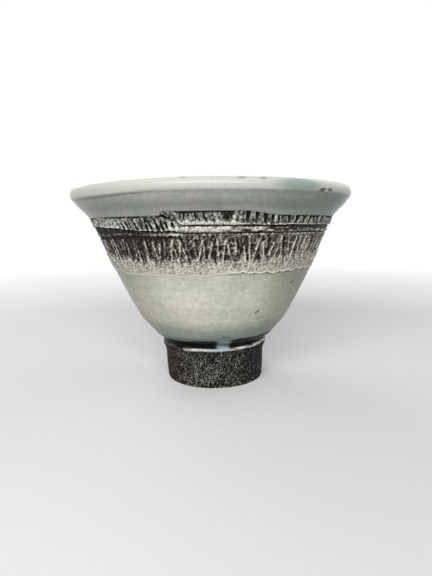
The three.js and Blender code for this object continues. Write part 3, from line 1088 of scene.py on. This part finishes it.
# Painted shade: from the band downwards the wall is darkened towards both sides, where it turns from the
# light.
painted_side_shade = graded(tree, maths(tree, "ABSOLUTE", split.outputs["X"]), 0.03, 0.056)
painted_side_shade = maths(tree, "MULTIPLY", painted_side_shade, graded(tree, split.outputs["Z"], 0.118, 0.095))
body = blended(tree, painted_side_shade, body, colour(222, 219, 215), "MULTIPLY")
thrown = noise_value(tree, object_place(tree, (0.03, 0.03, 1.0)), 420.0)
body = blended(tree, graded(tree, thrown, 0.35, 0.65, 0.0, 0.3), body, colour(215, 218, 210), "MULTIPLY")
for centre, tilt, size, shade in MARKS:
    body = blended(tree, mark(tree, place, centre, tilt, size), body, shade)
body = placed(tree, speckled, Vector=place, Color=body, Amount=0.08)["Color"]
groove_share = graded(tree, maths(tree, "MULTIPLY_ADD", split.outputs["X"], -0.05, height), 0.0359, 0.0365)
body = blended(tree, groove_share, colour(5, 7, 6), body)
hollow_tone = graded(tree, noise_value(tree, place, 420.0), 0.3, 0.8, -0.05, 0.4)
hollow = placed(
    tree, breaking_glaze, Vector=place, Tone=hollow_tone,
    Dark=colour(16, 13, 12), Middle=colour(84, 74, 68), Light=colour(190, 184, 170),
)
seat_share = graded(tree, attribute(tree, "seated"), 0.3, 0.6)
seat_share = maths(tree, "MULTIPLY", seat_share, graded(tree, split.outputs["Z"], 0.09, 0.095))
body = blended(tree, seat_share, body, hollow["Color"])
thick_drip = graded(tree, split.outputs["Z"], 0.034, 0.0305)
blue = blended(tree, thick_drip, colour(134, 147, 147), colour(170, 187, 196))
blue = placed(tree, speckled, Vector=place, Color=blue, Amount=0.22)["Color"]
body = blended(tree, graded(tree, attribute(tree, "drip"), 0.25, 0.7), body, blue)
put(tree, shader.inputs["Base Color"], body)
put(tree, shader.inputs["Coat Weight"], maths(tree, "MULTIPLY", groove_share, 0.3))
grain_height = maths(tree, "ADD", noise_value(tree, place, 300.0), maths(tree, "MULTIPLY", thrown, 0.6))
bumped(tree, shader, grain_height, 0.0002)
bowl.data.materials.append(glaze)
print(glaze.name, len(tree.nodes), "nodes")

# %% [markdown]
# ## Glaze on the band
# Strips, coil and slabs wear the same breaking glaze with colours of their own: neutral on the
# strips, browner on the slabs, where the iron clay shows most.

# %% Glaze on the band
def band_finish(name, dark, middle, light):
    """The breaking glaze by the paleness of the relief, with a net of fine pale lines."""
    material, tree, shader = finish(name, 0.5, 0.1)
    place = object_place(tree)
    net = placed(tree, fine_net, Vector=place, Scale=700.0, Width=0.05)["Mask"]
    tone = maths(tree, "MULTIPLY_ADD", net, 0.15, attribute(tree, "pale"))
    glazed = placed(tree, breaking_glaze, Vector=place, Tone=tone, Dark=dark, Middle=middle, Light=light)
    put(tree, shader.inputs["Base Color"], glazed["Color"])
    bumped(tree, shader, glazed["Height"], 0.00025)
    return material


BAND_FINISHES = [
    ("chopped_strip", colour(18, 17, 15), colour(128, 129, 119), colour(232, 233, 220)),
    ("rough_coil", colour(40, 37, 28), colour(140, 138, 126), colour(234, 233, 220)),
    ("brushed_slab", colour(24, 19, 18), colour(122, 115, 107), colour(226, 225, 211)),
]
for start, dark, middle, light in BAND_FINISHES:
    material = band_finish(start + "_glaze", dark, middle, light)
    pieces = [piece for piece in bpy.data.objects if piece.name.startswith(start)]
    for piece in pieces:
        piece.data.materials.append(material)
    print(material.name, "on", len(pieces), "pieces")

# %% [markdown]
# ## Bare clay of the foot
# The foot is almost black, with a dense crumb of pale flecks where white grit and slip were smeared
# over it by the knife. Two nets of fine lines, one finer than the other, break up into that crumb.

# %% Clay of the foot
iron, tree, shader = finish("iron_clay_finish", 0.5, 0.06)
place = object_place(tree)
split = tree.nodes.new("ShaderNodeSeparateXYZ")
put(tree, split.inputs[0], place)
clay = blended(tree, noise_value(tree, place, 90.0), colour(3, 3, 3), colour(22, 20, 18))
to_left = graded(tree, split.outputs["X"], -0.012, -0.028, 0.0, 0.4)
clay = blended(tree, to_left, clay, colour(40, 22, 18))
to_side = graded(tree, maths(tree, "ABSOLUTE", split.outputs["X"]), 0.016, 0.036, 1.0, 0.75)
to_side = maths(tree, "MULTIPLY_ADD", to_left, -0.4, to_side)
dense = graded(tree, noise_value(tree, place, 200.0), 0.38, 0.58, 0.72, 1.0)
dense = maths(tree, "MULTIPLY", dense, to_side)
net = placed(tree, fine_net, Vector=object_place(tree, (1.2, 1.2, 0.8)), Scale=660.0, Width=0.055)["Mask"]
fine = placed(tree, fine_net, Vector=place, Scale=900.0, Width=0.06)["Mask"]
flecks = maths(tree, "MULTIPLY", maths(tree, "MULTIPLY_ADD", fine, 0.5, net), dense)
flecks = graded(tree, flecks, 0.5, 0.92)
clay = blended(tree, flecks, clay, colour(232, 230, 216))
put(tree, shader.inputs["Base Color"], clay)
bumped(tree, shader, maths(tree, "ADD", flecks, noise_value(tree, place, 700.0)), 0.0004)
foot.data.materials.append(iron)
print(iron.name, len(tree.nodes), "nodes")

# %% [markdown]
# ## Thin glaze on the bead
# The bead takes the breaking glaze too, by the paleness noted on it, and pale blue where the drip
# ran over it and the glaze is thickest.

# %% Glaze on the bead
luting, tree, shader = finish("luting_clay_finish", 0.4, 0.3)
place = object_place(tree)
glazed = placed(
    tree, breaking_glaze, Vector=place, Tone=attribute(tree, "pale"),
    Dark=colour(20, 19, 16), Middle=colour(112, 114, 104), Light=colour(214, 212, 198),
)
blue = blended(tree, noise_value(tree, place, 500.0), colour(138, 154, 163), colour(192, 206, 215))
blue = placed(tree, speckled, Vector=place, Color=blue, Amount=0.12)["Color"]
drip = graded(tree, attribute(tree, "drip"), 0.3, 0.7)
put(tree, shader.inputs["Base Color"], blended(tree, drip, glazed["Color"], blue))
bumped(tree, shader, glazed["Height"], 0.0003)
bead.data.materials.append(luting)
print(luting.name, len(tree.nodes), "nodes")
